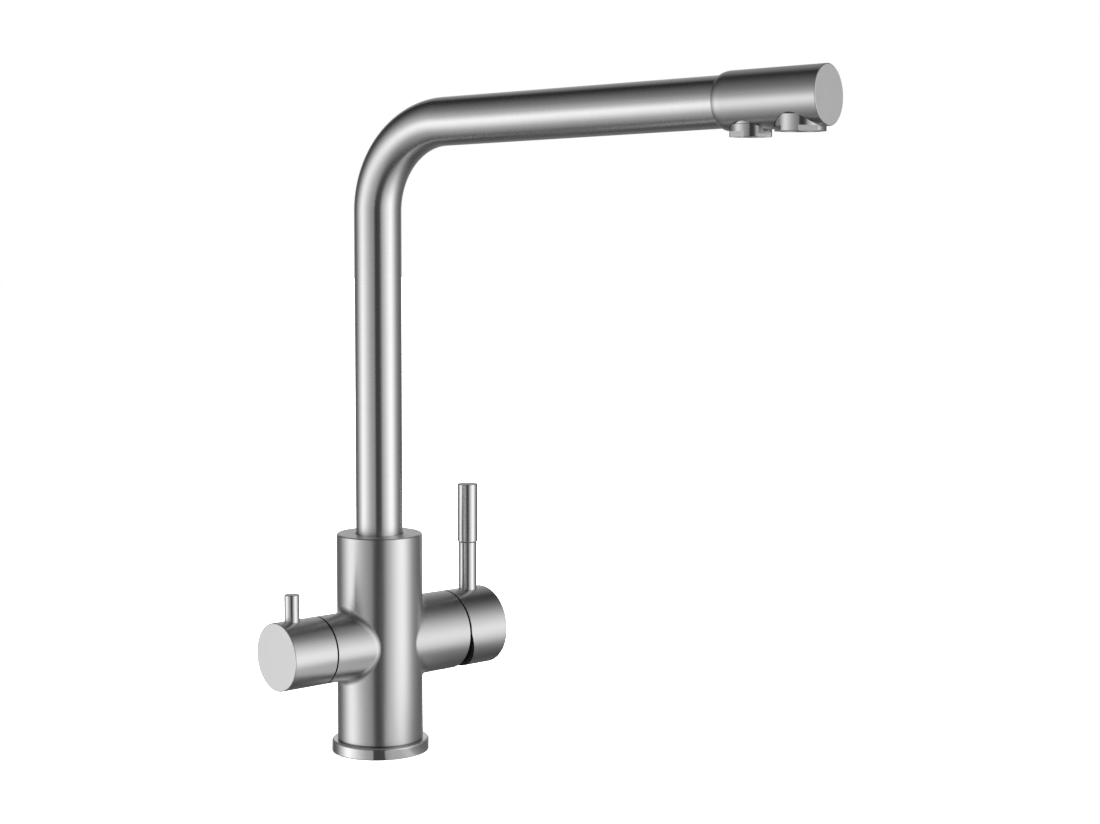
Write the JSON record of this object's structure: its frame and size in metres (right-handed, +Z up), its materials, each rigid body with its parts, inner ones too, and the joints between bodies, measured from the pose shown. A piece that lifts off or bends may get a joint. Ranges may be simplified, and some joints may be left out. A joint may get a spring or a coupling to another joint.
{
  "type": "drinking water filter tap",
  "caption": "Deck-mounted brushed steel kitchen mixer with an L-shaped swivel spout, a joystick mixer handle, and a quarter-turn handle and separate outlet for filtered drinking water.",
  "frame": {"origin": "on the column's axis, at the deck under the base ring", "axes": "+Z up along the column, +X towards the mixer handle, -X towards the filter handle, -Y to the user in front of the sink"},
  "size_m": [0.1441, 0.2865, 0.358],
  "materials": {
    "steel": "fine satin brushing",
    "plain_steel": "turned",
    "brass": "machined",
    "rubber": "matte",
    "ceramic": "lapped",
    "white_plastic": "moulded",
    "grey_plastic": "moulded",
    "black_plastic": "moulded"
  },
  "bodies": {
    "tap_body": {"base_ring": "steel", "base_seal": "rubber", "body": "steel", "inlet_block": "brass", "inlet_gasket": "rubber", "filter_riser": "brass", "riser_o_ring": "rubber", "thrust_washer": "white_plastic", "lock_screw": "plain_steel", "cartridge_gasket": "rubber", "cartridge_base": "white_plastic", "fixed_disc": "ceramic", "cartridge_housing": "white_plastic", "cartridge_nut": "brass", "seat_seal": "rubber", "valve_body": "brass", "valve_fixed_disc": "ceramic"},
    "mixer_rotor": {"rotor": "grey_plastic", "pivot_pin": "plain_steel", "cartridge_dome": "black_plastic"},
    "mixer_handle": {"stem": "plain_steel", "mixer_cap": "steel", "cap_screw": "plain_steel", "lever_rod": "steel", "lever_sleeve": "steel"},
    "flow_disc": {"moving_disc": "ceramic", "disc_carrier": "grey_plastic"},
    "filter_handle": {"valve_moving_disc": "ceramic", "valve_spindle": "brass", "spindle_o_ring": "rubber", "filter_knob": "steel", "knob_screw": "plain_steel", "filter_pin": "steel"},
    "spout": {"spout_tube": "steel", "spout_foot": "brass", "lower_glide_ring": "white_plastic", "upper_glide_ring": "white_plastic", "lower_foot_o_ring": "rubber", "upper_foot_o_ring": "rubber", "filter_line": "white_plastic", "outlet_head": "steel", "head_o_ring": "rubber", "aerator_barrel": "steel", "aerator_insert": "grey_plastic", "aerator_washer": "rubber", "filter_barrel": "steel", "filter_insert": "grey_plastic", "filter_washer": "rubber"}
  },
  "joints": [
    {"name": "spout_swivel", "type": "hinge", "parent": "tap_body", "child": "spout", "pos_m": [0, 0, 0.1], "axis": [0, 0, 1], "continuous": true},
    {"name": "mixer_temperature", "type": "hinge", "parent": "tap_body", "child": "mixer_rotor", "pos_m": [0.036, 0, 0.0595], "axis": [1, 0, 0], "range_deg": [-45, 45]},
    {"name": "mixer_flow", "type": "hinge", "parent": "mixer_rotor", "child": "mixer_handle", "pos_m": [0.036, 0, 0.0595], "axis": [0, 1, 0], "range_deg": [0, 17]},
    {"name": "disc_slide", "type": "slide", "parent": "mixer_rotor", "child": "flow_disc", "axis": [0, 0, 1], "range_m": [0, 0.0027]},
    {"name": "filter_turn", "type": "hinge", "parent": "tap_body", "child": "filter_handle", "pos_m": [-0.05, 0, 0.0595], "axis": [1, 0, 0], "range_deg": [0, 90]}
  ],
  "couplings": [
    {"joint": "disc_slide", "follows": "mixer_flow", "m_per_rad": 0.009}
  ]
}
